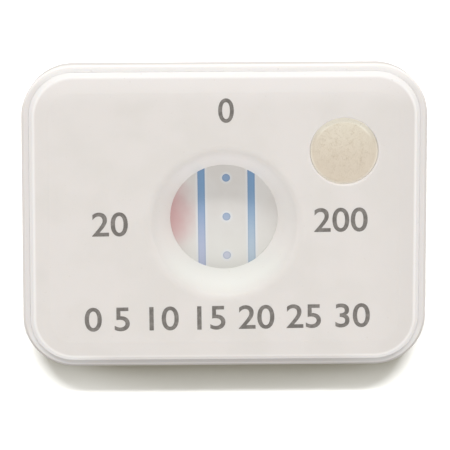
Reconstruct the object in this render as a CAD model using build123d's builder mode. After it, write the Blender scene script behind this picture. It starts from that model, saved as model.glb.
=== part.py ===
from build123d import *
import os

# A lateral flow cassette lying face up: two moulded shells closed round a paper strip and its pads.
# X runs along the long side, Y along the short side and Z out of the printed face. The origin is
# the middle of the flat underside. Lengths are in millimetres and angles in degrees.

# Outside of the closed case
case_length = 60.5
case_width = 46.5
case_height = 8.0
case_corner_radius = 7.75
wall_draft = 6.0
base_edge_radius = 4.2
floor_thickness = 1.2
floor_corner_radius = 3.0

# The lower shell's rim stands round the upper shell's skirt, a step below the face
rim_wall = 1.09
rim_drop = 1.0
rim_edge_radius = 0.5
rebate_depth = 2.8
shell_gap = 0.02

# Upper shell
skirt_wall = 1.1
plate_thickness = 1.3
face_bevel_width = 0.55
face_bevel_height = 0.7
face_edge_radius = 0.35
face_ease_width = 2.4
face_ease_drop = 0.25

# Sample well: a shallow cone with a ring below it that presses on the sample pad
well_inset_x = 12.45
well_inset_y = 13.15
well_radius = 5.0
well_mouth_radius = 5.12
well_rim_radius = 0.25
well_ring_wall = 0.9

# Reaction window: a dish that leaves a land of flat face beside the well, and narrows like a
# funnel down to a round hole with a thin upright lip
window_x = 0.0
window_y = -1.0
dish_land = 4.66
dish_rim_radius = 1.6
funnel_spread = 3.12
window_lip_height = 0.2
funnel_wall = 0.9

# Press pins of the upper shell and the sockets that take them
pin_inset = 5.45
pin_columns = 3
pin_rows = 2
pin_radius = 1.2
pin_tip_gap = 0.4
pin_tip_chamfer = 0.3
socket_gap = 0.03
socket_floor = 0.4
boss_radius = 2.1

# Ribs of both shells
rib_thickness = 0.9
rib_gap = 0.3
bed_drop = 1.5
bed_rib_count = 5
shelf_rib_count = 3

# Strip and pads, from the bed upwards
card_thickness = 0.3
membrane_thickness = 0.2
transfer_thickness = 0.7
sample_thickness = 2.3
absorbent_thickness = 2.6
seal_margin = 0.6
strip_overlap = 2.8
transfer_length = 5.4
sample_setback = 1.8
sample_margin = 1.5
card_margin = 1.4
pad_gap = 0.3
pad_corner_radius = 0.6
sample_plug = 1.25
sample_crown = 0.2
plug_gap = 0.03

# Reagents dried into the membrane, printed a little askew
reagent_turn = 0.7
reagent_shift = 0.39
reagent_depth = 0.06
line_offset_share = 0.4644
line_width = 1.1
line_end_margin = 0.6
dot_radius = 0.6
dot_pitch_share = 0.743
dot_count = 3

# Underside
panel_inset = 6.85
panel_depth = 0.3
gate_radius = 1.5
gate_depth = 0.25
gate_nub_radius = 0.55

# Cuts run this far past the material
overrun = 1.0

# Heights that follow from the sizes above
rim_z = case_height - rim_drop
ledge_z = rim_z - rebate_depth
ease_z = case_height - face_ease_drop
bevel_z = ease_z - face_bevel_height
plate_z = case_height - plate_thickness
plate_middle_z = case_height - plate_thickness / 2
socket_floor_z = floor_thickness + socket_floor
pin_tip_z = socket_floor_z + pin_tip_gap
bed_z = ledge_z - bed_drop
membrane_z = bed_z + card_thickness
membrane_top_z = membrane_z + membrane_thickness
transfer_top_z = membrane_top_z + transfer_thickness
sample_top_z = transfer_top_z + sample_thickness
plug_edge_z = sample_top_z + sample_plug
plug_radius = well_radius - plug_gap
plug_edge_share = sample_plug / (case_height - sample_top_z)
plug_edge_radius = plug_radius + (well_mouth_radius - well_radius) * plug_edge_share
absorbent_top_z = membrane_top_z + absorbent_thickness

# Outlines that follow: the rebate in the rim, the skirt that drops into it, the face and the room
rebate_length = case_length - 2 * rim_wall
rebate_width = case_width - 2 * rim_wall
rebate_corner_radius = case_corner_radius - rim_wall
skirt_length = rebate_length - 2 * shell_gap
skirt_width = rebate_width - 2 * shell_gap
skirt_corner_radius = rebate_corner_radius - shell_gap
face_length = skirt_length - 2 * face_bevel_width
face_width = skirt_width - 2 * face_bevel_width
face_corner_radius = skirt_corner_radius - face_bevel_width
room_length = skirt_length - 2 * skirt_wall
room_width = skirt_width - 2 * skirt_wall
room_corner_radius = skirt_corner_radius - skirt_wall

# Press pins stand in a grid
pin_pitch_x = (case_length - 2 * pin_inset) / (pin_columns - 1)
pin_pitch_y = (case_width - 2 * pin_inset) / (pin_rows - 1)
pin_places = GridLocations(pin_pitch_x, pin_pitch_y, pin_columns, pin_rows)

# The well lies in from the corner of the case, and the dish reaches to the land beside it
well_x = case_length / 2 - well_inset_x
well_y = case_width / 2 - well_inset_y
well_distance = (Vector(well_x, well_y) - Vector(window_x, window_y)).length
dish_radius = well_distance - well_mouth_radius - dish_land
window_radius = dish_radius - funnel_spread

# The funnel's outer wall runs beside its inner cone
lip_top_z = membrane_top_z + window_lip_height
funnel_slope = funnel_spread / (case_height - lip_top_z)
funnel_foot_radius = window_radius + funnel_wall


def funnel_radius(height):
    """Outer radius of the funnel at a height."""
    return funnel_foot_radius + (height - membrane_top_z) * funnel_slope


# Plan places of the strip and the pads, set out from the funnel and the press pins
strip_width = 2 * (funnel_foot_radius + seal_margin)
absorbent_right = window_x - funnel_radius(absorbent_top_z) - pad_gap
absorbent_left = pad_gap - room_length / 2
pad_top_y = pin_pitch_y / 2 - boss_radius - pad_gap
transfer_left = window_x + funnel_radius(transfer_top_z) + pad_gap
transfer_right = transfer_left + transfer_length
sample_left = transfer_left + sample_setback
sample_right = well_x + well_mouth_radius + well_ring_wall
sample_bottom_y = window_y - strip_width / 2 - sample_margin
membrane_left = absorbent_right - strip_overlap
membrane_right = transfer_left + strip_overlap
card_left = membrane_left - card_margin
card_right = transfer_right


def middle(low, high):
    """Halfway between two places."""
    return (low + high) / 2


def rib_places(low, high):
    """Evenly spaced places for upright ribs between two places along X."""
    pitch = (high - low) / shelf_rib_count
    return [low + pitch * (i + 0.5) for i in range(shelf_rib_count)]


def upright(center_x, center_y):
    """Section plane through an upright axis: local X runs outwards and local Y upwards."""
    return Plane(origin=(center_x, center_y, 0), x_dir=(1, 0, 0), z_dir=(0, -1, 0))


def upright_axis(center_x, center_y):
    """The axis that a section on that plane turns about."""
    return Axis((center_x, center_y, 0), (0, 0, 1))


reagent_plane = Plane(
    origin=(window_x + reagent_shift, window_y, membrane_top_z - reagent_depth),
    x_dir=Vector(1, 0, 0).rotate(Axis.Z, reagent_turn),
    z_dir=(0, 0, 1),
)
line_offset = window_radius * line_offset_share
line_length = strip_width - 2 * line_end_margin
dot_pitch = window_radius * dot_pitch_share
absorbent_ribs_x = rib_places(absorbent_left, card_left)
sample_ribs_x = rib_places(card_right, sample_right)
sample_rib_top_y = well_y - well_mouth_radius - well_ring_wall - rib_gap


# Lower shell: a drafted tray with a rim, a rebate that takes the skirt, sockets and ribs
with BuildPart() as lower_shell:
    with BuildSketch(Plane.XY.offset(rim_z)):
        RectangleRounded(case_length, case_width, case_corner_radius)
    extrude(amount=-rim_z, taper=wall_draft)
    fillet(lower_shell.edges().group_by(Axis.Z)[0], base_edge_radius)
    fillet(lower_shell.edges().group_by(Axis.Z)[-1], rim_edge_radius)
    with BuildSketch(Plane.XY.offset(floor_thickness)):
        RectangleRounded(room_length, room_width, room_corner_radius)
    extrude(amount=case_height, mode=Mode.SUBTRACT)
    fillet(
        lower_shell.edges().filter_by_position(Axis.Z, floor_thickness, floor_thickness),
        floor_corner_radius,
    )
    with BuildSketch(Plane.XY.offset(ledge_z)):
        RectangleRounded(rebate_length, rebate_width, rebate_corner_radius)
    extrude(amount=case_height, mode=Mode.SUBTRACT)

    # Bed under the backing card, and a fence along each of its long sides
    with BuildSketch(Plane.XY.offset(floor_thickness)):
        with Locations((middle(card_left, card_right), window_y)):
            with GridLocations(0, strip_width / bed_rib_count, 1, bed_rib_count):
                Rectangle(card_right - card_left, rib_thickness)
    extrude(amount=bed_z - floor_thickness)
    with BuildSketch(Plane.XY.offset(floor_thickness)):
        with Locations((middle(card_left, card_right), window_y)):
            with GridLocations(0, strip_width + 2 * rib_gap + rib_thickness, 1, 2):
                Rectangle(card_right - card_left, rib_thickness)
    extrude(amount=membrane_z - floor_thickness)

    # Shelves under the pads, on both sides of the card
    with BuildSketch(Plane.XY.offset(floor_thickness)):
        with Locations(*[(x, 0) for x in absorbent_ribs_x]):
            Rectangle(rib_thickness, 2 * pad_top_y - 2 * rib_gap)
    extrude(amount=membrane_top_z - floor_thickness)
    with BuildSketch(Plane.XY.offset(floor_thickness)):
        with Locations(*[(x, middle(sample_bottom_y, pad_top_y)) for x in sample_ribs_x]):
            Rectangle(rib_thickness, pad_top_y - sample_bottom_y - 2 * rib_gap)
    extrude(amount=transfer_top_z - floor_thickness)

    # Sockets for the press pins
    with BuildSketch(Plane.XY.offset(floor_thickness)):
        with pin_places:
            Circle(boss_radius)
    extrude(amount=ledge_z - floor_thickness)
    with BuildSketch(Plane.XY.offset(ledge_z)):
        with pin_places:
            Circle(pin_radius + socket_gap)
    extrude(amount=socket_floor_z - ledge_z, mode=Mode.SUBTRACT)

    # Shallow panel in the underside, with the ring left round the moulding gate
    with BuildSketch(Plane.XY):
        RectangleRounded(
            case_length - 2 * panel_inset,
            case_width - 2 * panel_inset,
            case_corner_radius - panel_inset,
        )
    extrude(amount=panel_depth, mode=Mode.SUBTRACT)
    with BuildSketch(Plane.XY.offset(panel_depth)):
        Circle(gate_radius)
        Circle(gate_nub_radius, mode=Mode.SUBTRACT)
    extrude(amount=gate_depth, mode=Mode.SUBTRACT)
lower_shell.part.label = "lower_shell"


# Upper shell: skirt, bevelled and eased face, funnel, well, pressing ribs and pins, in one
with BuildPart() as upper_shell:
    with BuildSketch(Plane.XY.offset(ledge_z)):
        RectangleRounded(skirt_length, skirt_width, skirt_corner_radius)
    extrude(amount=bevel_z - ledge_z)
    with BuildSketch(Plane.XY.offset(bevel_z)):
        RectangleRounded(skirt_length, skirt_width, skirt_corner_radius)
    with BuildSketch(Plane.XY.offset(ease_z)):
        RectangleRounded(face_length, face_width, face_corner_radius)
    loft(ruled=True)
    with BuildSketch(Plane.XY.offset(ease_z)):
        RectangleRounded(face_length, face_width, face_corner_radius)
    with BuildSketch(Plane.XY.offset(case_height)):
        RectangleRounded(
            face_length - 2 * face_ease_width,
            face_width - 2 * face_ease_width,
            face_corner_radius - face_ease_width,
        )
    loft(ruled=True)
    fillet(upper_shell.edges().filter_by_position(Axis.Z, ease_z, ease_z), face_edge_radius)
    with BuildSketch(Plane.XY.offset(ledge_z)):
        RectangleRounded(room_length, room_width, room_corner_radius)
    extrude(amount=plate_z - ledge_z, mode=Mode.SUBTRACT)

    # Ribs that press the absorbent pad and the sample pad on their shelves
    with BuildSketch(Plane.XY.offset(absorbent_top_z)):
        with Locations(*[(x, 0) for x in absorbent_ribs_x]):
            Rectangle(rib_thickness, 2 * pad_top_y - 2 * rib_gap)
    extrude(amount=plate_middle_z - absorbent_top_z)
    with BuildSketch(Plane.XY.offset(sample_top_z)):
        with Locations(*[(x, middle(sample_bottom_y, sample_rib_top_y)) for x in sample_ribs_x]):
            Rectangle(rib_thickness, sample_rib_top_y - sample_bottom_y - 2 * rib_gap)
    extrude(amount=plate_middle_z - sample_top_z)

    # Press pins, each below a shoulder that seats on its socket
    with BuildSketch(Plane.XY.offset(ledge_z)):
        with pin_places:
            Circle(boss_radius)
    extrude(amount=plate_middle_z - ledge_z)
    with BuildSketch(Plane.XY.offset(ledge_z)):
        with pin_places:
            Circle(pin_radius)
    extrude(amount=pin_tip_z - ledge_z)
    chamfer(upper_shell.edges().group_by(Axis.Z)[0], pin_tip_chamfer)

    # Funnel down to the membrane
    with BuildSketch(upright(window_x, window_y)):
        with BuildLine():
            Polyline(
                (0, membrane_top_z),
                (funnel_foot_radius, membrane_top_z),
                (funnel_radius(plate_middle_z), plate_middle_z),
                (0, plate_middle_z),
                close=True,
            )
        make_face()
    revolve(axis=upright_axis(window_x, window_y))
    with BuildSketch(upright(window_x, window_y)):
        with BuildLine():
            Polyline(
                (0, membrane_top_z - overrun),
                (window_radius, membrane_top_z - overrun),
                (window_radius, lip_top_z),
                (dish_radius, case_height),
                (dish_radius, case_height + overrun),
                (0, case_height + overrun),
                close=True,
            )
        make_face()
    revolve(axis=upright_axis(window_x, window_y), mode=Mode.SUBTRACT)
    dish_rim = (window_x + dish_radius, window_y, case_height)
    fillet(upper_shell.edges().sort_by_distance(dish_rim)[0], dish_rim_radius)

    # Sample well and the ring round its foot
    with BuildSketch(Plane.XY.offset(sample_top_z)):
        with Locations((well_x, well_y)):
            Circle(well_mouth_radius + well_ring_wall)
    extrude(amount=plate_middle_z - sample_top_z)
    with BuildSketch(upright(well_x, well_y)):
        with BuildLine():
            Polyline(
                (0, sample_top_z),
                (well_radius, sample_top_z),
                (well_mouth_radius, case_height),
                (well_mouth_radius, case_height + overrun),
                (0, case_height + overrun),
                close=True,
            )
        make_face()
    revolve(axis=upright_axis(well_x, well_y), mode=Mode.SUBTRACT)
    well_rim = (well_x + well_mouth_radius, well_y, case_height)
    fillet(upper_shell.edges().sort_by_distance(well_rim)[0], well_rim_radius)
upper_shell.part.label = "upper_shell"


# Backing card under the strip
with BuildPart() as backing_card:
    with BuildSketch(Plane.XY.offset(bed_z)):
        with Locations((middle(card_left, card_right), window_y)):
            Rectangle(card_right - card_left, strip_width)
    extrude(amount=card_thickness)
backing_card.part.label = "backing_card"


# Membrane, with the places of the reagents taken out of its top
with BuildPart() as membrane:
    with BuildSketch(Plane.XY.offset(membrane_z)):
        with Locations((middle(membrane_left, membrane_right), window_y)):
            Rectangle(membrane_right - membrane_left, strip_width)
    extrude(amount=membrane_thickness)
    with BuildSketch(reagent_plane):
        with GridLocations(2 * line_offset, 0, 2, 1):
            Rectangle(line_width, line_length)
        with GridLocations(0, dot_pitch, 1, dot_count):
            Circle(dot_radius)
    extrude(amount=membrane_thickness, mode=Mode.SUBTRACT)
membrane.part.label = "membrane"


def reagent_line(offset):
    """One dried line of reagent, level with the top of the membrane."""
    with BuildPart() as line:
        with BuildSketch(reagent_plane):
            with Locations((offset, 0)):
                Rectangle(line_width, line_length)
        extrude(amount=reagent_depth)
    return line.part


left_reagent_line = reagent_line(-line_offset)
left_reagent_line.label = "left_reagent_line"
right_reagent_line = reagent_line(line_offset)
right_reagent_line.label = "right_reagent_line"


# Control dots between the two lines
with BuildPart() as control_dots:
    with BuildSketch(reagent_plane):
        with GridLocations(0, dot_pitch, 1, dot_count):
            Circle(dot_radius)
    extrude(amount=reagent_depth)
control_dots.part.label = "control_dots"


# Transfer pad that carries the sample on to the membrane
with BuildPart() as transfer_pad:
    with BuildSketch(Plane.XY.offset(membrane_top_z)):
        with Locations((middle(transfer_left, transfer_right), window_y)):
            Rectangle(transfer_length, strip_width)
    extrude(amount=transfer_thickness)
transfer_pad.part.label = "transfer_pad"


# Sample pad, pressed down by the ring, with a plug that fills the well almost to the face
with BuildPart() as sample_pad:
    with BuildSketch(Plane.XY.offset(transfer_top_z)):
        with Locations((middle(sample_left, sample_right), middle(sample_bottom_y, pad_top_y))):
            RectangleRounded(
                sample_right - sample_left,
                pad_top_y - sample_bottom_y,
                pad_corner_radius,
            )
    extrude(amount=sample_thickness)
    with BuildSketch(upright(well_x, well_y)):
        with BuildLine():
            crown = ThreePointArc(
                (0, plug_edge_z + sample_crown),
                (plug_edge_radius / 2, plug_edge_z + sample_crown * 3 / 4),
                (plug_edge_radius, plug_edge_z),
            )
            Polyline(crown @ 1, (plug_radius, sample_top_z), (0, sample_top_z), crown @ 0)
        make_face()
    revolve(axis=upright_axis(well_x, well_y))
sample_pad.part.label = "sample_pad"


# Absorbent pad that takes up what has crossed the membrane
with BuildPart() as absorbent_pad:
    with BuildSketch(Plane.XY.offset(membrane_top_z)):
        with Locations((middle(absorbent_left, absorbent_right), 0)):
            RectangleRounded(
                absorbent_right - absorbent_left,
                2 * pad_top_y,
                pad_corner_radius,
            )
    extrude(amount=absorbent_thickness)
absorbent_pad.part.label = "absorbent_pad"


os.makedirs("parts", exist_ok=True)
for piece in (
    lower_shell.part,
    upper_shell.part,
    backing_card.part,
    membrane.part,
    left_reagent_line,
    right_reagent_line,
    control_dots.part,
    transfer_pad.part,
    sample_pad.part,
    absorbent_pad.part,
):
    export_step(piece, f"parts/{piece.label}.step")
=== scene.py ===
# %% [markdown]
# # A lateral flow cassette
# The real object is a flat white case, about as long as a thumb, closed round a strip of paper.
# A drop goes into the round well and creeps along the strip, past marks of dried blue reagent
# that show in the round window. The solids come from the CAD model with their real sizes.
# This lesson gives them their finishes, prints the numbers on the face, and sets up the light.

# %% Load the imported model
import bmesh
import bpy
import math
from mathutils import Matrix, Vector


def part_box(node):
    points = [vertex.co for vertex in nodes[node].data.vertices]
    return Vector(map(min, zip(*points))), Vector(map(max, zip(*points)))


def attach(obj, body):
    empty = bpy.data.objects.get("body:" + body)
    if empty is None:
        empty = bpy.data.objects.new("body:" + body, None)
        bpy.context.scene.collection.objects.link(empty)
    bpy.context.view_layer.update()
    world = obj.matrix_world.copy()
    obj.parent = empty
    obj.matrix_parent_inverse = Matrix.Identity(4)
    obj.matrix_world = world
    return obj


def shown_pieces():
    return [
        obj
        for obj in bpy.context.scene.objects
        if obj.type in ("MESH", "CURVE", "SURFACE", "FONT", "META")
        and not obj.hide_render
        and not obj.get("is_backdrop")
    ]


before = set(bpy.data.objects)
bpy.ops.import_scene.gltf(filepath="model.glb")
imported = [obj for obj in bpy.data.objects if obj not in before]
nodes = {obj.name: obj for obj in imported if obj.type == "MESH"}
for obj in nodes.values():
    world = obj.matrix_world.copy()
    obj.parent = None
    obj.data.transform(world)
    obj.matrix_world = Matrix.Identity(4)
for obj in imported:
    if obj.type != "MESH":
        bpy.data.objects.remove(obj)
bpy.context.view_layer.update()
MM = 0.001


def in_mm(lengths):
    """Lengths in millimetres, rounded to be printed."""
    return [round(length / MM, 2) for length in lengths]


# %% [markdown]
# ## The camera
# The photo looks at the face nearly straight on, from a little towards the edge beside the well.
# So each hole shows the wall across from that edge, and hides the one next to it. A long lens
# at 0.7 metres keeps the short sides nearly parallel. The camera is placed by two angles and a
# distance from the point of the face that the middle of the photo shows.

# %% Camera
CAMERA_TILT = math.radians(14.5)
CAMERA_TURN = math.radians(1.5)
CAMERA_DISTANCE = 0.7
SENSOR_WIDTH = 36.0
NEAREST_SEEN = 0.05
FARTHEST_SEEN = 20.0
FRAME_WIDTH = 67.2 * MM
FRAME_MIDDLE = Vector((0.04 * MM, -1.07 * MM, 8.0 * MM))


def make_camera():
    """A camera with a long lens, looking down on the face."""
    data = bpy.data.cameras.new("camera")
    data.sensor_width = SENSOR_WIDTH
    data.lens = SENSOR_WIDTH * CAMERA_DISTANCE / FRAME_WIDTH
    data.clip_start = NEAREST_SEEN
    data.clip_end = FARTHEST_SEEN
    camera = bpy.data.objects.new("camera", data)
    lean = Matrix.Rotation(-CAMERA_TURN, 3, "Y") @ Matrix.Rotation(-CAMERA_TILT, 3, "X")
    place = FRAME_MIDDLE + lean @ Vector((0, 0, CAMERA_DISTANCE))
    camera.matrix_world = Matrix.Translation(place) @ lean.to_4x4()
    bpy.context.scene.collection.objects.link(camera)
    return camera


camera = make_camera()
bpy.context.scene.camera = camera
print("Lens in mm:", round(camera.data.lens, 1))

# %% [markdown]
# ## Writing a finish like a sum
# A material in Blender is a tree of nodes, and each Math node is one sum. Drawing such a tree by
# hand is slow to read, so one small class wraps a socket and turns Python's signs into Math
# nodes. Colours don't go through Math nodes, which would turn them grey. They go through Mix.
# The same class serves the Geometry Nodes further down, whose sums are the same nodes.

# %% A socket that can be used in sums
class Value:
    """One socket of a tree of nodes, used like a number."""

    def __init__(self, tree, socket=None):
        self.tree = tree
        self.socket = socket

    def node(self, kind, settings=None, sockets=None, output=0):
        """Adds any node: its settings first, then numbers or links for its sockets."""
        made = self.tree.nodes.new(kind)
        for name, setting in (settings or {}).items():
            setattr(made, name, setting)
        for name, value in (sockets or {}).items():
            if isinstance(value, Value):
                self.tree.links.new(value.socket, made.inputs[name])
            else:
                made.inputs[name].default_value = value
        return Value(self.tree, made.outputs[output])

    def math(self, operation, first, second=0.0):
        """One Math node."""
        return self.node("ShaderNodeMath", {"operation": operation}, {0: first, 1: second})

    def __add__(self, other):
        return self.math("ADD", self, other)

    def __radd__(self, other):
        return self.math("ADD", other, self)

    def __sub__(self, other):
        return self.math("SUBTRACT", self, other)

    def __rsub__(self, other):
        return self.math("SUBTRACT", other, self)

    def __mul__(self, other):
        return self.math("MULTIPLY", self, other)

    def __rmul__(self, other):
        return self.math("MULTIPLY", other, self)

    def __truediv__(self, other):
        return self.math("DIVIDE", self, other)

    def __rtruediv__(self, other):
        return self.math("DIVIDE", other, self)

    def __abs__(self):
        return self.math("ABSOLUTE", self)

    def larger(self, other):
        """The larger one of this value and another."""
        return self.math("MAXIMUM", self, other)

    def smaller(self, other):
        """The smaller one of this value and another."""
        return self.math("MINIMUM", self, other)

    def step(self, low, high):
        """Rises smoothly from 0 at low to 1 at high, or falls where high is the lower one."""
        return self.node(
            "ShaderNodeMapRange",
            {"interpolation_type": "SMOOTHSTEP"},
            {"Value": self, "From Min": low, "From Max": high},
        )

    def tint(self, first, second):
        """Mixes two colours: the first where this value is 0, the second where it is 1."""
        return self.node(
            "ShaderNodeMix", {"data_type": "RGBA"}, {0: self, 6: first, 7: second}, output=2
        )

    def parts(self):
        """The three parts of a place."""
        outputs = self.node("ShaderNodeSeparateXYZ", None, {0: self}).socket.node.outputs
        return [Value(self.tree, output) for output in outputs]


print("A socket can be added, taken off, multiplied, divided, stepped and mixed")

# %% Reach and colour
def reach(x, y):
    """How far a place lies from the middle, by its two parts."""
    return x.math("SQRT", x * x + y * y)


def rgb(red, green, blue):
    """A colour as the light that a surface sends back, from 0 to 1 for each part."""
    return (red, green, blue, 1.0)


print("A colour has its three parts and is opaque:", rgb(0.9, 0.8, 0.7))

# %% A material with places on the piece
class Finish:
    """A material with the Principled shader, and the place of each point of the piece in it."""

    def __init__(self, name):
        self.material = bpy.data.materials.new(name)
        self.material.use_nodes = True
        self.tree = self.material.node_tree
        self.shader = self.tree.nodes["Principled BSDF"]
        self.start = Value(self.tree)
        self.place = self.start.node("ShaderNodeTexCoord", output=3)

    def constants(self, **numbers):
        """Sets the shader's own sockets, where a value is the same all over."""
        for name, number in numbers.items():
            self.shader.inputs[name.replace("_", " ")].default_value = number

    def link(self, name, value):
        """Feeds one of the shader's sockets with what changes over the surface."""
        self.tree.links.new(value.socket, self.shader.inputs[name])

    def from_middle(self, middle, turn=0.0):
        """The two level parts of the place, measured from a middle on axes turned about Z."""
        moved = self.start.node(
            "ShaderNodeMapping",
            {"vector_type": "TEXTURE"},
            {"Vector": self.place, "Location": middle, "Rotation": (0, 0, turn)},
        )
        return moved.parts()[:2]

    def stretched(self, shares):
        """The place with each part taken times its share, which draws a pattern out."""
        return self.start.node("ShaderNodeMapping", None, {"Vector": self.place, "Scale": shares})

    def noise(self, size, detail=2.0, roughness=0.5, place=None):
        """Cloudy noise from 0 to 1, with clouds of about that size in metres."""
        sockets = {"Scale": 1.0 / size, "Detail": detail, "Roughness": roughness}
        return self.start.node("ShaderNodeTexNoise", None, {"Vector": place or self.place, **sockets})

    def bump(self, height, depth):
        """Turns a height from 0 to 1 into relief of that depth in metres."""
        sockets = {"Height": height * depth, "Strength": 1.0, "Distance": 1.0}
        self.link("Normal", self.start.node("ShaderNodeBump", None, sockets))


def dress(names, material):
    """Gives CAD nodes a finish in place of their plain one."""
    for name in names:
        slots = nodes[name].data.materials
        slots.clear()
        slots.append(material)
    print(material.name, "on", ", ".join(names))


print("Nodes that wait for a finish:", len(nodes))

# %% [markdown]
# ## Where the plastic is paler
# The mould is polished inside the funnel, so the plastic there is smoother. The few lamps
# further down light the funnel, the mouth of the well, the border beside the well, the rim of
# the tray and the sharp bevel round the face less than the real light did, so these zones are
# painted paler: painted light that fills their shade, and a painted highlight on the bevel.
# Painting them by hand would need an image. Here each zone is a mask from 0 to 1, worked out
# from how high a point lies, how far from the middle of a hole, or how far inwards from the
# outline. A pair of lengths says where the mask starts and where it is full. X runs along the
# case, and Y towards the edge beside the well.

# %% Zones round the holes
WINDOW_MIDDLE = Vector((0.0, -1.0 * MM, 0.0))
FUNNEL_RADIUS = 11.2 * MM
FUNNEL_EASE = (FUNNEL_RADIUS + 0.7 * MM, FUNNEL_RADIUS - 1.6 * MM)
FUNNEL_RISE = (2.0 * MM, 2.6 * MM)
WELL_MIDDLE = Vector((17.8 * MM, 10.1 * MM, 0.0))
WELL_RADIUS = 5.0 * MM
# Painted light on the mouth of the well, which fills the shade of the groove round the pad.
MOUTH_EASE = (WELL_RADIUS + 0.5 * MM, WELL_RADIUS + 0.2 * MM)
MOUTH_LIGHT_SHARE = 0.35


def funnel_zone(x, y, z):
    """The funnel of the window, above the membrane."""
    return reach(x, y - WINDOW_MIDDLE.y).step(*FUNNEL_EASE) * z.step(*FUNNEL_RISE)


def mouth_zone(finish):
    """The rounded mouth of the well, where painted light fills the shade round the pad."""
    return reach(*finish.from_middle(WELL_MIDDLE)).step(*MOUTH_EASE) * MOUTH_LIGHT_SHARE


print("Middles of window and well in mm:", in_mm(WINDOW_MIDDLE), in_mm(WELL_MIDDLE))

# %% Zones along the edge
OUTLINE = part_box("lower_shell")[1]
CORNER_RADIUS = 7.75 * MM
# The rim and the bevel are painted paler: painted light on the rim, and a painted highlight on the
# bevel that is strongest beside the well.
RIM_START = (0.3 * MM, 0.4 * MM)
PALE_RIM_START = (0.3 * MM, 0.5 * MM)
BEVEL_START = (0.9 * MM, 1.2 * MM)
NUMBERS_BAND_START = (1.0 * MM, 1.3 * MM)
BEVEL_END = (2.1 * MM, 1.6 * MM)
NUMBERS_SIDE = (-17.0 * MM, -20.0 * MM)
WELL_SIDE = (8.0 * MM, 21.0 * MM)
WELL_SIDE_RIM = (19.0 * MM, 22.0 * MM)
ENDS = (25.0 * MM, 28.0 * MM)
CORNER_ENDS = (14.0 * MM, 24.0 * MM)
CORNER_SIDE = (-16.0 * MM, -19.0 * MM)
NUMBERS_SIDE_CUT = 0.5
LEAST_HIGHLIGHT = 0.15
END_HIGHLIGHT = 0.7


def inwards(x, y):
    """How far a place lies inwards from the outline of the case, seen from above."""
    over_x = abs(x) - (OUTLINE.x - CORNER_RADIUS)
    over_y = abs(y) - (OUTLINE.y - CORNER_RADIUS)
    round_corner = reach(over_x.larger(0.0), over_y.larger(0.0))
    return CORNER_RADIUS - round_corner - over_x.larger(over_y).smaller(0.0)


def rim_zone(edge, y):
    """The rim of the tray with the bevel inside it, which get painted light, halved on the bevel
    beside the row of numbers.
    """
    side_band = edge.step(*NUMBERS_BAND_START) * y.step(*NUMBERS_SIDE)
    return edge.step(*RIM_START) * (1.0 - NUMBERS_SIDE_CUT * side_band)


def highlight_zone(edge, x, y):
    """The bevel's painted highlight, strongest beside the well and at the ends, and the parts of the
    rim painted as pale.
    """
    well_side = LEAST_HIGHLIGHT + (1.0 - LEAST_HIGHLIGHT) * y.step(*WELL_SIDE)
    bevel = edge.step(*BEVEL_START) * well_side.larger(abs(x).step(*ENDS) * END_HIGHLIGHT)
    corners = abs(x).step(*CORNER_ENDS) * y.step(*CORNER_SIDE)
    rim = edge.step(*PALE_RIM_START) * y.step(*WELL_SIDE_RIM).larger(corners)
    return bevel.larger(rim)


print("Half the outline in mm:", in_mm(OUTLINE[:2]))

# %% [markdown]
# ## The moulded plastic
# Both shells are moulded from the same warm white plastic. Such plastic lets light in a little
# way, which softens the shade in the funnel, so the shader gets a little subsurface light, about
# half a millimetre deep. The mould was blasted, so the skin has a fine grain and a satin gloss.
# It is never one even white: soft clouds a few millimetres wide come from the flow in the
# mould, and tiny specks from dust. Towards one end it is painted a little darker, as painted shade.

# %% Plastic finish
# The clouds and specks are the plastic's own tones. The other tones are painted: painted light in the
# funnel and on the edge zones, a painted highlight on the bevel, and painted shade at one end.
PLASTIC = rgb(0.775, 0.742, 0.716)
PLASTIC_CLOUD = rgb(0.75, 0.72, 0.69)
PLASTIC_FUNNEL_FILL = rgb(0.83, 0.802, 0.775)
PLASTIC_PAINTED_HIGHLIGHT = rgb(0.955, 0.935, 0.92)
PLASTIC_PAINTED_SHADE = rgb(0.735, 0.703, 0.678)
PLASTIC_FUNNEL_FOOT_FILL = rgb(0.815, 0.82, 0.785)
PLASTIC_PAINTED_LIGHT = rgb(0.87, 0.84, 0.825)
PLASTIC_SPECK = rgb(0.68, 0.64, 0.6)
TOP_RISE = (6.0 * MM, 6.5 * MM)
BORDER = (16.5 * MM, 21.0 * MM)
BORDER_LIGHT_SHARE = 0.6
# Painted shade towards one end of the face.
SHADE_END = (20.0 * MM, 28.5 * MM)
SHADE_END_SHARE = 0.8
FUNNEL_TOP = (2.0 * MM, 8.0 * MM)
FUNNEL_FOOT = (-4.0 * MM, -9.0 * MM)
CLOUD_SIZE = 7.0 * MM
SPECK_SIZE = 0.45 * MM
SPECK_SHARE = 0.35
GRAIN_SIZE = 0.16 * MM
GRAIN_DEPTH = 0.0022 * MM
DENT_SIZE = 3.5 * MM
LIGHT_DEPTHS = (0.6 * MM, 0.5 * MM, 0.4 * MM)


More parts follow.
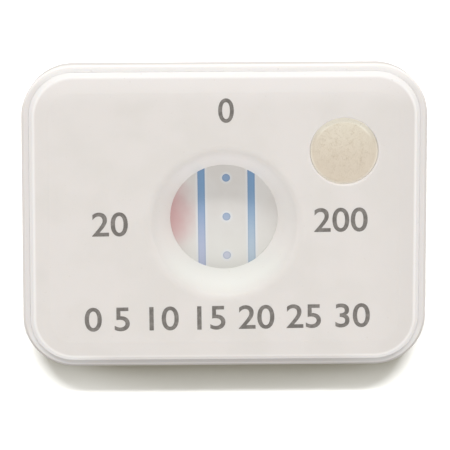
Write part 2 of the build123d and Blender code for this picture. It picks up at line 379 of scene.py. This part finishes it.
def plastic_colour(finish, clouds, funnel):
    """White with its clouds, painted shade at one end, and painted light in the funnel and on the
    zones over them.
    """
    x, y, z = finish.place.parts()
    colour = clouds.tint(PLASTIC, PLASTIC_CLOUD)
    # Painted shade towards one end of the face.
    colour = (x.step(*SHADE_END) * SHADE_END_SHARE).tint(colour, PLASTIC_PAINTED_SHADE)
    # Painted light over the funnel, which fills its shade, paler still on the slope beside the well
    # and on the slope across from it.
    funnel_fill = y.step(*FUNNEL_TOP).tint(PLASTIC_FUNNEL_FILL, PLASTIC_PAINTED_LIGHT)
    light_fill = y.step(*FUNNEL_FOOT).tint(funnel_fill, PLASTIC_FUNNEL_FOOT_FILL)
    colour = funnel.tint(colour, light_fill)
    top = z.step(*TOP_RISE)
    edge = inwards(x, y)
    band = edge.step(*BEVEL_END) * top
    # Painted light on the border beside the well, on the rim and on the mouth of the well.
    border = y.step(*BORDER) * top * BORDER_LIGHT_SHARE
    zone_fill = (rim_zone(edge, y) * band).larger(mouth_zone(finish)).larger(border)
    colour = zone_fill.tint(colour, PLASTIC_PAINTED_LIGHT)
    # Painted highlight on the bevel and on the palest parts of the rim.
    return (highlight_zone(edge, x, y) * band).tint(colour, PLASTIC_PAINTED_HIGHLIGHT)


def plastic_finish():
    """Warm white moulded plastic with faint clouds, specks and a fine satin grain."""
    finish = Finish("moulded_plastic")
    clouds = finish.noise(CLOUD_SIZE, detail=3.0).step(0.38, 0.66)
    specks = finish.noise(SPECK_SIZE, detail=1.0).step(0.72, 0.8)
    grain = finish.noise(GRAIN_SIZE, detail=3.0, roughness=0.6)
    dents = finish.noise(DENT_SIZE, detail=1.0)
    funnel = funnel_zone(*finish.place.parts())
    colour = plastic_colour(finish, clouds, funnel)
    finish.link("Base Color", (specks * SPECK_SHARE).tint(colour, PLASTIC_SPECK))
    finish.link("Roughness", 0.42 + 0.1 * grain + 0.05 * clouds - 0.1 * funnel)
    finish.bump(grain + 6.0 * dents, GRAIN_DEPTH)
    finish.constants(
        Subsurface_Weight=0.15,
        Subsurface_Scale=1.0,
        Subsurface_Radius=LIGHT_DEPTHS,
        Specular_IOR_Level=0.4,
        IOR=1.5,
    )
    return finish.material


dress(("upper_shell", "lower_shell"), plastic_finish())

# %% [markdown]
# ## The membrane
# The white sheet behind the window is a fine sponge of dried film, smooth and matt. Liquid that
# ran across it left a pink stain along one side of the window, strongest at the very edge, and
# a clean pale seam beside each blue mark, where the reagent drew the colour in. The marks lie in
# regular places, so the same few lengths that place the seams here shade the marks below.

# %% Places on the strip
REAGENT_TURN = math.radians(0.7)
REAGENT_MIDDLE = Vector((0.39 * MM, -1.0 * MM, 0.0))
LINE_OFFSET = 3.75 * MM
LINE_WIDTH = 1.1 * MM
DOT_PITCH = 6.0 * MM
DOT_RADIUS = 0.6 * MM
PORE_SIZE = 0.06 * MM
PORE_DEPTH = 0.004 * MM
SHEET_GLOSS = 0.2


def past_marks(x, y):
    """How far a place lies outside the edge of the nearest line, and of the nearest dot."""
    line = abs(abs(x) - LINE_OFFSET) - 0.5 * LINE_WIDTH
    row = x.math("PINGPONG", abs(y), 0.5 * DOT_PITCH)
    return line, reach(x, row) - DOT_RADIUS


print("Lines and dots apart in mm:", in_mm((2.0 * LINE_OFFSET, DOT_PITCH)))

# %% Membrane finish
MEMBRANE = rgb(0.725, 0.712, 0.692)
MEMBRANE_DAMP = rgb(0.705, 0.685, 0.66)
MEMBRANE_CLEAN = rgb(0.75, 0.77, 0.79)
# The next tone is painted light on the sheet.
MEMBRANE_PAINTED_LIGHT = rgb(0.785, 0.79, 0.755)
STAIN = rgb(0.63, 0.4, 0.4)
STAIN_OFFSET = 8.5 * MM
STAIN_BEND = 62.0
STAIN_WANDER = 2.2 * MM
STAIN_EASE = (5.6 * MM, 0.2 * MM)
STAIN_END = (-8.0 * MM, -0.5 * MM)
STAIN_SHARE = 0.95
SEAM_EASE = (0.5 * MM, 0.1 * MM)
SEAM_SHARE = 0.7
MEMBRANE_LIGHT_SIDE = (1.0 * MM, -6.5 * MM)
MEMBRANE_LIGHT_SHARE = 0.6
RIPPLE_SIZE = 2.5 * MM
DAMP_SIZE = 4.0 * MM


def membrane_finish():
    """Matt white sheet with a pink stain at one side, pale seams beside the blue marks, and painted
    light on the side away from the well.
    """
    finish = Finish("membrane_sheet")
    x, y = finish.from_middle(REAGENT_MIDDLE, REAGENT_TURN)
    ripple = finish.noise(RIPPLE_SIZE, detail=3.0)
    pores = finish.noise(PORE_SIZE, detail=2.0, roughness=0.7)
    damp = finish.noise(DAMP_SIZE, detail=4.0).step(0.35, 0.7)
    sheet = damp.tint(MEMBRANE, MEMBRANE_DAMP)
    # Painted light: the sheet is paler on the side away from the well, which the lamp reaches past
    # the funnel.
    sheet = (y.step(*MEMBRANE_LIGHT_SIDE) * MEMBRANE_LIGHT_SHARE).tint(sheet, MEMBRANE_PAINTED_LIGHT)
    away = abs(x + STAIN_OFFSET + y * y * STAIN_BEND + (ripple - 0.5) * STAIN_WANDER)
    stain = away.step(*STAIN_EASE) * y.step(*STAIN_END)
    sheet = (stain * STAIN_SHARE).tint(sheet, STAIN)
    line, dot = past_marks(x, y)
    seam = line.smaller(dot).step(*SEAM_EASE)
    finish.link("Base Color", (seam * SEAM_SHARE).tint(sheet, MEMBRANE_CLEAN))
    finish.link("Roughness", 0.78 + 0.15 * pores)
    finish.bump(pores + ripple * 3.0, PORE_DEPTH)
    finish.constants(Specular_IOR_Level=SHEET_GLOSS)
    return finish.material


dress(("membrane",), membrane_finish())

# %% [markdown]
# ## The blue marks
# The two lines and three dots are blue reagent dried into the sheet. They are deepest on the
# side of the well, fade along the window, and turn more violet on the side of the stain. The
# dots dried out thinner than the lines, each one thinner than the last. The edges are darker
# than the middles, as any dried drop's are. One material with masks does this for all of them.

# %% Reagent finish
BLUE_DEEP = rgb(0.21, 0.35, 0.55)
BLUE_VIOLET = rgb(0.475, 0.52, 0.675)
BLUE_SKY = rgb(0.475, 0.57, 0.665)
BLUE_EDGE = rgb(0.13, 0.22, 0.4)
DOT_THIN = rgb(0.74, 0.68, 0.72)
VIOLET_TO_SKY = (-2.0 * MM, 2.0 * MM)
FADE = (5.5 * MM, -6.5 * MM)
FADE_WANDER = 2.0 * MM
DOT_EASE = (0.1 * MM, 0.0)
DOT_FADE = (2.0 * MM, -5.0 * MM)
DRIED_EDGE = (-0.22 * MM, -0.04 * MM)
EDGE_SHARE = 0.3
MOTTLE_SIZE = 0.5 * MM


def reagent_finish():
    """Dried blue reagent that fades along the window, towards violet on one side."""
    finish = Finish("dried_reagent")
    x, y = finish.from_middle(REAGENT_MIDDLE, REAGENT_TURN)
    mottle = finish.noise(MOTTLE_SIZE, detail=4.0, roughness=0.6)
    pores = finish.noise(PORE_SIZE, detail=2.0, roughness=0.7)
    pale = x.step(*VIOLET_TO_SKY).tint(BLUE_VIOLET, BLUE_SKY)
    fade = (y + (mottle - 0.5) * FADE_WANDER).step(*FADE)
    line, dot = past_marks(x, y)
    thin = dot.step(*DOT_EASE) * (0.12 + 0.2 * y.step(*DOT_FADE))
    colour = thin.tint(fade.tint(BLUE_DEEP, pale), DOT_THIN)
    edge = line.smaller(dot).step(*DRIED_EDGE)
    finish.link("Base Color", (edge * EDGE_SHARE).tint(colour, BLUE_EDGE))
    finish.link("Roughness", 0.7 + 0.2 * mottle)
    finish.bump(pores, PORE_DEPTH)
    finish.constants(Specular_IOR_Level=SHEET_GLOSS)
    return finish.material


dress(("left_reagent_line", "right_reagent_line", "control_dots"), reagent_finish())

# %% [markdown]
# ## The pads and the card
# The sample pad is pressed from glass fibre and has dried cream. It is painted paler towards
# the case's edge, as painted light where its crown faces the lamps, and on a ring under the
# well's wall, as painted light that fills the groove's shade and, on that side, the wall's
# shadow. The transfer pad and the absorbent pad are white cotton, and the card is a plain
# film with a faint grain from its rollers. The last three lie hidden in the closed case, but
# whoever opens it sees them. Felt is two noises drawn out across each other.

# %% Felt finishes
COTTON = rgb(0.84, 0.835, 0.81)
COTTON_DARK = rgb(0.76, 0.755, 0.73)
FELT_STRETCHES = ((0.25, 1.0, 1.0), (1.0, 0.25, 1.0))
FELT_CLOUDS = 3.0 * MM


def felt_relief(finish, size, depth):
    """Gives a finish the streaks of felt as relief. Returns them, and clouds for the colour."""
    along, across = (
        finish.noise(size, detail=3.0, place=finish.stretched(shares)) for shares in FELT_STRETCHES
    )
    felt = along + across
    finish.bump(felt, depth)
    finish.constants(Specular_IOR_Level=0.15)
    return felt, finish.noise(FELT_CLOUDS, detail=3.0)


def cotton_finish():
    """White pressed cotton with shaded streaks."""
    finish = Finish("cotton_felt")
    felt, clouds = felt_relief(finish, size=0.15 * MM, depth=0.02 * MM)
    shade = (felt * 0.35 + clouds * 0.6).step(0.4, 0.95)
    finish.link("Base Color", shade.tint(COTTON, COTTON_DARK))
    finish.link("Roughness", 0.8 + 0.1 * clouds)
    return finish.material


dress(("transfer_pad", "absorbent_pad"), cotton_finish())

# %% Sample pad finish
CREAM = rgb(0.715, 0.638, 0.53)
CREAM_DARK = rgb(0.67, 0.59, 0.48)
# The three paler creams below are painted light on the pad.
CREAM_PAINTED_LIGHT = rgb(0.785, 0.733, 0.615)
CREAM_RING_FILL = rgb(0.84, 0.79, 0.69)
CREAM_SHADOW_FILL = rgb(0.93, 0.89, 0.775)
CREAM_LIGHT_SIDE = (-0.5 * WELL_RADIUS, 1.3 * WELL_RADIUS)
CREAM_LIGHT_WANDER = 2.0 * MM
RING_FILL_SPAN = (WELL_RADIUS - 0.35 * MM, WELL_RADIUS)
SHADOW_FILL_RING = (WELL_RADIUS - 0.8 * MM, WELL_RADIUS - 0.55 * MM)
SHADOW_FILL_SIDE = (0.3 * WELL_RADIUS, 0.8 * WELL_RADIUS)


def sample_finish():
    """Cream glass fibre, with painted light on one side and on a ring under the well's wall."""
    finish = Finish("sample_felt")
    felt, clouds = felt_relief(finish, size=0.12 * MM, depth=0.012 * MM)
    x, y = finish.from_middle(WELL_MIDDLE)
    # Painted light on the side towards the case's edge, where the crown faces the lamps.
    light_fill = (y + (clouds - 0.5) * CREAM_LIGHT_WANDER).step(*CREAM_LIGHT_SIDE)
    shade = (felt * 0.3 + clouds * 0.5).step(0.35, 0.95)
    colour = light_fill.tint(shade.tint(CREAM, CREAM_DARK), CREAM_PAINTED_LIGHT)
    out = reach(x, y)
    # Painted light on the ring under the well's wall, which fills the shade of the groove.
    colour = out.step(*RING_FILL_SPAN).tint(colour, CREAM_RING_FILL)
    # More painted light on that ring beside the case's edge, which fills the wall's shadow.
    side_band = out.step(*SHADOW_FILL_RING) * y.step(*SHADOW_FILL_SIDE)
    finish.link("Base Color", side_band.tint(colour, CREAM_SHADOW_FILL))
    finish.link("Roughness", 0.8 + 0.1 * clouds)
    return finish.material


cream = sample_finish()
dress(("sample_pad",), cream)

# %% Card finish
FILM = rgb(0.82, 0.825, 0.83)
FILM_DARK = rgb(0.77, 0.775, 0.785)
ROLLED = (0.1, 1.0, 1.0)
ROLLER_GRAIN = 0.3 * MM
ROLLER_DEPTH = 0.002 * MM


def card_finish():
    """Plain white film with a faint grain from its rollers."""
    finish = Finish("backing_film")
    grain = finish.noise(ROLLER_GRAIN, detail=2.0, place=finish.stretched(ROLLED))
    finish.link("Base Color", grain.tint(FILM, FILM_DARK))
    finish.link("Roughness", 0.3 + 0.2 * grain)
    finish.bump(grain, ROLLER_DEPTH)
    return finish.material


dress(("backing_card",), card_finish())

# %% [markdown]
# ## The felt skin of the sample pad
# Glass fibre felt is never quite level: it bulges a little in the open well and lies in curls
# half a millimetre wide. A sculpted surface would do it, but Geometry Nodes keep its sizes
# open. A ball is pressed flat into a crown, noise lifts and sinks its top, and the result is a
# closed skin on the pad's solid. Two small functions open and close such a tree, with a
# named input for each size, and one turns it into a plain mesh.

# %% Trees that grow a mesh
def open_tree(name, sizes):
    """A new tree with a named input for each size. Returns its start and its inputs."""
    tree = bpy.data.node_groups.new(name, "GeometryNodeTree")
    for size, number in sizes.items():
        kind = "NodeSocketInt" if isinstance(number, int) else "NodeSocketFloat"
        tree.interface.new_socket(size, in_out="INPUT", socket_type=kind)
    tree.interface.new_socket("Grown", in_out="OUTPUT", socket_type="NodeSocketGeometry")
    inputs = tree.nodes.new("NodeGroupInput")
    return Value(tree), {s.name: Value(tree, s) for s in inputs.outputs if s.name}


def close_tree(grown, material):
    """Ends a tree with real copies and their material, and returns it."""
    real = grown.node("GeometryNodeRealizeInstances", None, {"Geometry": grown})
    dressed = real.node("GeometryNodeSetMaterial", None, {"Geometry": real, "Material": material})
    output = grown.tree.nodes.new("NodeGroupOutput")
    grown.tree.links.new(dressed.socket, output.inputs["Grown"])
    return grown.tree


def plain_mesh(piece, name):
    """The piece as its modifiers make it, as a mesh with no modifier left."""
    bpy.context.view_layer.update()
    graph = bpy.context.evaluated_depsgraph_get()
    mesh = bpy.data.meshes.new_from_object(piece.evaluated_get(graph), depsgraph=graph)
    mesh.name = name
    return mesh


def grown_mesh(name, tree, sizes):
    """What a tree makes with these sizes, as one plain mesh."""
    carrier = bpy.data.objects.new(name, bpy.data.meshes.new(name))
    bpy.context.scene.collection.objects.link(carrier)
    grower = carrier.modifiers.new(name, "NODES")
    grower.node_group = tree
    keys = {s.name: s.identifier for s in tree.interface.items_tree if s.in_out == "INPUT"}
    for size, number in sizes.items():
        grower[keys[size]] = number
    mesh = plain_mesh(carrier, name)
    bpy.data.objects.remove(carrier)
    print(name, "has", len(mesh.polygons), "faces")
    return mesh


def add_piece(name, mesh):
    """A finished piece at the origin that rides on the case."""
    piece = bpy.data.objects.new(name, mesh)
    bpy.context.scene.collection.objects.link(piece)
    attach(piece, "root")
    return piece


# %% Felt skin by Geometry Nodes
SKIN_SIZES = {
    "Skin Radius": 4.93 * MM,
    "Skin Crown": 0.205 * MM,
    "Skin Depth": 0.02 * MM,
    "Curl Size": 0.45 * MM,
    "Curl Depth": 0.03 * MM,
}
SKIN_FOOT = 7.452 * MM


def skin_tree(material):
    """A crowned, closed skin of felt with an uneven top, made from a ball pressed flat."""
    start, size = open_tree("pad_skin", SKIN_SIZES)
    ball = start.node(
        "GeometryNodeMeshIcoSphere", None, {"Radius": size["Skin Radius"], "Subdivisions": 6}
    )
    spot = start.node("GeometryNodeInputPosition")
    x, y, z = spot.parts()
    share = z / size["Skin Radius"]
    above = share.larger(0.0)
    below = share.smaller(0.0)
    curls = start.node(
        "ShaderNodeTexNoise", None, {"Vector": spot, "Scale": 1.0 / size["Curl Size"], "Detail": 3.0}
    )
    crown = above * above * size["Skin Crown"]
    uneven = (curls - 0.5) * above.step(0.05, 0.5) * size["Curl Depth"]
    height = crown + uneven + below * size["Skin Depth"]
    pressed = start.node("ShaderNodeCombineXYZ", None, {"X": x, "Y": y, "Z": height})
    skin = start.node("GeometryNodeSetPosition", None, {"Geometry": ball, "Position": pressed})
    skin = start.node("GeometryNodeSetShadeSmooth", None, {"Geometry": skin})
    return close_tree(skin, material)


skin_mesh = grown_mesh("pad_skin", skin_tree(cream), SKIN_SIZES)
skin_mesh.transform(Matrix.Translation(WELL_MIDDLE + Vector((0, 0, SKIN_FOOT))))
add_piece("pad_skin", skin_mesh)

# %% [markdown]
# ## Loose fibres on the sample pad
# Such felt is fuzzy as well: fine fibres lie about on its crown, each one a bent hair. Blender's
# hair system could grow them, but Geometry Nodes suit so few better. One tree scatters a single
# bent hair over a disc of the pad's own curve, and turns and sizes each copy by chance from a
# fixed seed, so every run gives the same hairs.

# %% Fibre sizes
FIBRE_SIZES = {
    "Crown Radius": 4.6 * MM,
    "Crown Height": 0.19 * MM,
    "Fibres per Square Metre": 0.9e7,
    "Fibre Length": 1.1 * MM,
    "Fibre Radius": 0.006 * MM,
    "Seed": 7,
}
CROWN_FOOT = 7.475 * MM
FIBRE_LEAN = 0.06
SHORTEST_SHARE = 0.5
LONGEST_SHARE = 1.3
BEND_SHARES = {
    "Start": (-1.0, 0.0),
    "Start Handle": (-0.4, 0.35),
    "End Handle": (0.5, -0.2),
    "End": (1.0, 0.25),
}
CROWN_AREA = math.pi * FIBRE_SIZES["Crown Radius"] ** 2
print("Hairs expected:", round(CROWN_AREA * FIBRE_SIZES["Fibres per Square Metre"]))

# %% Fibres by Geometry Nodes
def crown_points(start, size):
    """Points scattered over a shallow crown."""
    disc = start.node(
        "GeometryNodeMeshCircle",
        {"fill_type": "TRIANGLE_FAN"},
        {"Vertices": 48, "Radius": size["Crown Radius"]},
    )
    disc = start.node("GeometryNodeSubdivideMesh", None, {"Mesh": disc, "Level": 3})
    spot = start.node("GeometryNodeInputPosition")
    out = start.node("ShaderNodeVectorMath", {"operation": "LENGTH"}, {0: spot}, output=1)
    share = out / size["Crown Radius"]
    rise = (1.0 - share * share) * size["Crown Height"]
    lift = start.node("ShaderNodeCombineXYZ", None, {"Z": rise})
    crown = start.node("GeometryNodeSetPosition", None, {"Geometry": disc, "Offset": lift})
    return start.node(
        "GeometryNodeDistributePointsOnFaces",
        None,
        {"Mesh": crown, "Density": size["Fibres per Square Metre"], "Seed": size["Seed"]},
    )


def bent_hair(start, size):
    """One bent hair with closed ends."""
    half = size["Fibre Length"] * 0.5
    bend = {"Resolution": 5}
    for name, (along, aside) in BEND_SHARES.items():
        bend[name] = start.node(
            "ShaderNodeCombineXYZ", None, {"X": half * along, "Y": half * aside}
        )
    line = start.node("GeometryNodeCurvePrimitiveBezierSegment", None, bend)
    rod = start.node(
        "GeometryNodeCurvePrimitiveCircle", None, {"Resolution": 4, "Radius": size["Fibre Radius"]}
    )
    return start.node(
        "GeometryNodeCurveToMesh", None, {"Curve": line, "Profile Curve": rod, "Fill Caps": True}
    )


def fibre_tree(material):
    """Scatters bent hairs over a shallow crown, each one turned and sized by chance."""
    start, size = open_tree("pad_fibres", FIBRE_SIZES)
    least_turn = (-FIBRE_LEAN, -FIBRE_LEAN, 0.0)
    most_turn = (FIBRE_LEAN, FIBRE_LEAN, math.tau)
    spin = start.node(
        "FunctionNodeRandomValue",
        {"data_type": "FLOAT_VECTOR"},
        {0: least_turn, 1: most_turn, "Seed": size["Seed"]},
    )
    stretch = start.node(
        "FunctionNodeRandomValue",
        {"data_type": "FLOAT"},
        {2: SHORTEST_SHARE, 3: LONGEST_SHARE, "Seed": size["Seed"]},
        output=1,
    )
    hairs = start.node(
        "GeometryNodeInstanceOnPoints",
        None,
        {
            "Points": crown_points(start, size),
            "Instance": bent_hair(start, size),
            "Rotation": spin,
            "Scale": stretch,
        },
    )
    return close_tree(hairs, material)


# %% Fibre finish and piece
FIBRE_PALE = rgb(0.78, 0.71, 0.59)
FIBRE_DARK = rgb(0.7, 0.62, 0.49)
TONE_SIZE = 0.8 * MM


def fibre_finish():
    """Cream hairs, some of them darker than others."""
    finish = Finish("loose_fibre")
    tone = finish.noise(TONE_SIZE, detail=2.0).step(0.35, 0.65)
    finish.link("Base Color", tone.tint(FIBRE_PALE, FIBRE_DARK))
    finish.link("Roughness", 0.5 + 0.2 * tone)
    return finish.material


fibre_mesh = grown_mesh("pad_fibres", fibre_tree(fibre_finish()), FIBRE_SIZES)
fibre_mesh.transform(Matrix.Translation(WELL_MIDDLE + Vector((0, 0, CROWN_FOOT))))
add_piece("pad_fibres", fibre_mesh)

# %% [markdown]
# ## The printed numbers
# The face is pad printed in grey ink, a film of about a hundredth of a millimetre: one number
# above the window, one on each side and a row below it. A picture of the print would blur up
# close, so each is a text with a little thickness. It is made a mesh before it is placed,
# because a text has no faces of its own yet, and all of them become one piece.

# %% Ink finish
INK = rgb(0.155, 0.143, 0.13)
INK_WORN = rgb(0.31, 0.29, 0.27)
PATCH_SIZE = 0.7 * MM
PIT_SIZE = 0.12 * MM
PIT_DEPTH = 0.003 * MM


def ink_finish():
    """Grey ink, a little thinner in patches and with a ragged, faintly pitted film."""
    finish = Finish("grey_ink")
    patch = finish.noise(PATCH_SIZE, detail=4.0, roughness=0.6).step(0.35, 0.75)
    pits = finish.noise(PIT_SIZE, detail=2.0).step(0.6, 0.75)
    finish.link("Base Color", (patch * 0.6 + pits * 0.3).tint(INK, INK_WORN))
    finish.link("Roughness", 0.45 + 0.2 * patch)
    finish.bump(pits, PIT_DEPTH)
    return finish.material


ink = ink_finish()
print("Nodes in the ink's material:", len(ink.node_tree.nodes))

# %% Printed numbers
FACE_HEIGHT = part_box("upper_shell")[1].z
INK_RAISE = 0.012 * MM
PRINT_TURN = math.radians(0.6)
STROKE_GAIN = 0.045 * MM
LETTER_SIZE = 5.2 * MM
OUTLINE_STEPS = 8
PRINT_PLACES = (
    ("0", 0.19, 16.25, 0.98),
    ("20", -17.15, -1.1, 1.08),
    ("200", 17.35, -0.6, 1.06),
    ("0 5 10 15 20 25 30", 0.4, -15.62, 1.08),
)


def number_mesh(words):
    """A flat text turned into a mesh, still about its own middle."""
    curve = bpy.data.curves.new("number", "FONT")
    curve.body = words
    curve.size = LETTER_SIZE
    curve.align_x = "CENTER"
    curve.align_y = "CENTER"
    curve.resolution_u = OUTLINE_STEPS
    curve.extrude = INK_RAISE
    curve.offset = STROKE_GAIN
    text = bpy.data.objects.new("number", curve)
    bpy.context.scene.collection.objects.link(text)
    mesh = plain_mesh(text, "number")
    bpy.data.objects.remove(text)
    return mesh


def make_numbers():
    """All the numbers as one piece, laid on the face."""
    whole = bmesh.new()
    for words, x, y, wide in PRINT_PLACES:
        mesh = number_mesh(words)
        turn = Matrix.Rotation(PRINT_TURN, 4, "Z") @ Matrix.Diagonal((wide, 1, 1, 1))
        mesh.transform(Matrix.Translation((x * MM, y * MM, FACE_HEIGHT)) @ turn)
        whole.from_mesh(mesh)
    mesh = bpy.data.meshes.new("face_numbers")
    whole.to_mesh(mesh)
    whole.free()
    mesh.materials.clear()
    mesh.materials.append(ink)
    return add_piece("face_numbers", mesh)


numbers = make_numbers()
print("Numbers in mm:", in_mm(numbers.dimensions))

# %% [markdown]
# ## The table
# The case lies on a white table, made as one wide sheet just below it. The sheet is warm in
# colour and its lamps are cool, so it looks white where they reach it and stays warm in the
# shade, as in the photo. Bounced light doesn't see the sheet, so it can't tint the case.

# %% Table top
FLOOR_REACH = 4.0
FLOOR_DROP = 0.02 * MM
FLOOR_CORNERS = ((-1, -1), (1, -1), (1, 1), (-1, 1))
FLOOR_PALE = rgb(0.51, 0.487, 0.39)
FLOOR_DARK = rgb(0.5, 0.477, 0.38)
FLOOR_GRAIN = 3.0 * MM


def floor_finish():
    """Table top with the faintest grain."""
    finish = Finish("table_top")
    grain = finish.noise(FLOOR_GRAIN, detail=3.0)
    finish.link("Base Color", grain.tint(FLOOR_PALE, FLOOR_DARK))
    finish.link("Roughness", 0.8 + 0.1 * grain)
    finish.constants(Specular_IOR_Level=0.0)
    return finish.material


def make_floor():
    """A wide flat sheet just below the case."""
    mesh = bpy.data.meshes.new("floor")
    places = [(FLOOR_REACH * x, FLOOR_REACH * y, 0.0) for x, y in FLOOR_CORNERS]
    mesh.from_pydata(places, [], [(0, 1, 2, 3)])
    mesh.materials.append(floor_finish())
    floor = bpy.data.objects.new("floor", mesh)
    floor.location.z = -FLOOR_DROP
    bpy.context.scene.collection.objects.link(floor)
    floor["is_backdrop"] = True
    floor.visible_diffuse = False
    floor.visible_glossy = False
    return floor


floor = make_floor()
print("Floor in metres:", [round(side, 1) for side in floor.dimensions])

# %% [markdown]
# ## The light
# A soft sky lights everything. The lamps are wide panels at one distance, in three groups, and
# light linking lets each group reach only what it is for: the face with what lies in it, the
# tray, or the table. On the side of the well, a low lamp shades the funnel and the window, and
# a pair of higher ones draws the short shadow on the table. A soft one above them and two low
# ones far to the sides lighten that shadow towards its ends. A dome lifts the face a little.

# %% Lamps and what they light
LAMP_DISTANCE = 1.2
SKY_STRENGTH = 0.46
SKY_COLOUR = rgb(1.0, 0.98, 0.955)
DOME_STRENGTH = 0.14
DOME_ANGLE = math.radians(170)
WARM = (1.0, 0.995, 0.99)
COOL = (0.76, 0.8, 1.0)
# Name, height and turn in degrees, width and depth in metres, strength
FACE_LAMPS = (
    ("window_lamp", 28, 0, 0.9, 0.1, 0.42),
    ("edge_lamp", 10, 0, 0.9, 0.1, 0.08),
    ("front_lamp", 45, 180, 0.9, 0.5, 0.28),
    ("side_lamp_left", 20, -90, 1.2, 0.3, 0.08),
    ("side_lamp_right", 20, 90, 1.2, 0.3, 0.08),
)
TRAY_LAMPS = (
    ("tray_lamp", 32, 0, 1.0, 0.2, 0.76),
    ("tray_back_lamp", 8, 0, 1.6, 0.3, 0.15),
    ("tray_left_lamp", 8, -90, 1.2, 0.3, 0.3),
    ("tray_right_lamp", 8, 90, 1.2, 0.3, 0.3),
)
TABLE_LAMPS = (
    ("table_lamp_left", 46.2, -20, 0.3, 0.08, 2.3),
    ("table_lamp_right", 46.2, 20, 0.3, 0.08, 2.3),
    ("table_lamp_soft", 63, 0, 0.8, 0.55, 1.0),
    ("table_lamp_far_left", 21, -62, 0.6, 0.1, 1.1),
    ("table_lamp_far_right", 21, 62, 0.6, 0.1, 0.55),
)
print("Lamps in the three groups:", len(FACE_LAMPS), len(TRAY_LAMPS), len(TABLE_LAMPS))

# %% Sky, dome and lamps
def make_sky():
    """Even pale light from all round."""
    world = bpy.data.worlds.new("sky")
    world.use_nodes = True
    background = world.node_tree.nodes["Background"]
    background.inputs["Color"].default_value = SKY_COLOUR
    background.inputs["Strength"].default_value = SKY_STRENGTH
    bpy.context.scene.world = world


def light_up(lamp, receivers):
    """Puts a lamp into the scene and says which pieces it may light."""
    lamp.light_linking.receiver_collection = receivers
    bpy.context.scene.collection.objects.link(lamp)


def make_lamp(name, height, turn, width, depth, strength, colour, receivers):
    """A panel aimed at the case, from a height above the table and a turn from the well's side.

    A strength of 1 lights a surface that faces the panel as an even sky of strength 1 does.
    """
    data = bpy.data.lights.new(name, "AREA")
    data.shape = "RECTANGLE"
    data.size = width
    data.size_y = depth
    data.energy = strength * (math.pi * LAMP_DISTANCE) ** 2
    data.color = colour
    lamp = bpy.data.objects.new(name, data)
    height, turn = math.radians(height), math.radians(turn)
    level = math.cos(height)
    back = Vector((math.sin(turn) * level, math.cos(turn) * level, math.sin(height)))
    lamp.location = back * LAMP_DISTANCE
    lamp.rotation_mode = "QUATERNION"
    lamp.rotation_quaternion = back.to_track_quat("Z", "Y")
    light_up(lamp, receivers)


def make_dome(receivers):
    """Even light from the whole sky above, for the pieces that it may light."""
    data = bpy.data.lights.new("dome", "SUN")
    data.energy = DOME_STRENGTH * math.pi
    data.angle = DOME_ANGLE
    data.color = WARM
    dome = bpy.data.objects.new("dome", data)
    dome.location = (0.0, 0.0, 1.0)
    light_up(dome, receivers)


def receivers_of_light(name, pieces):
    """A collection of the pieces that a lamp may light."""
    group = bpy.data.collections.new(name)
    for piece in pieces:
        group.objects.link(piece)
    return group


tray = nodes["lower_shell"]
lit_face = receivers_of_light("lit_face", [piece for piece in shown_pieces() if piece != tray])
lit_tray = receivers_of_light("lit_tray", [tray])
lit_table = receivers_of_light("lit_table", [floor])
make_sky()
for lamps, colour, group in (
    (FACE_LAMPS, WARM, lit_face),
    (TRAY_LAMPS, WARM, lit_tray),
    (TABLE_LAMPS, COOL, lit_table),
):
    for lamp in lamps:
        make_lamp(*lamp, colour, group)
make_dome(lit_face)
bpy.context.scene.view_settings.view_transform = "Standard"
